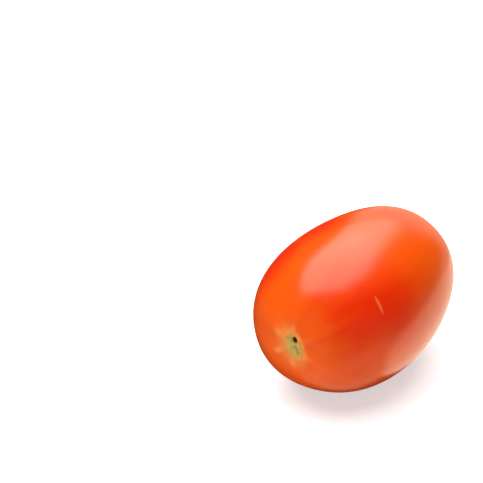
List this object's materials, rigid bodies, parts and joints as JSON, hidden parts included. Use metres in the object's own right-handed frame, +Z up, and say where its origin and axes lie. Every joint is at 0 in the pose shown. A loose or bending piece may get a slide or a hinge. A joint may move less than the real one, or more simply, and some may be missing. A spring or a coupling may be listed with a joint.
{
  "type": "tomato",
  "caption": "Ripe orange-red plum tomato lying on its side, a plump oval fruit with soft lobes, a corky stem scar in a shallow dimple and a small blunt tip at the blossom end.",
  "frame": {"origin": "on the flat spot that the fruit rests on, straight below the middle of the fruit's axis", "axes": "+Z up, +Y along the fruit's axis from the stem scar to the blossom end, +X to the side"},
  "size_m": [0.0527, 0.074, 0.0509],
  "materials": {
    "tomato_skin": "gloss"
  },
  "bodies": {
    "root": {"tomato": "tomato_skin"}
  },
  "joints": []
}
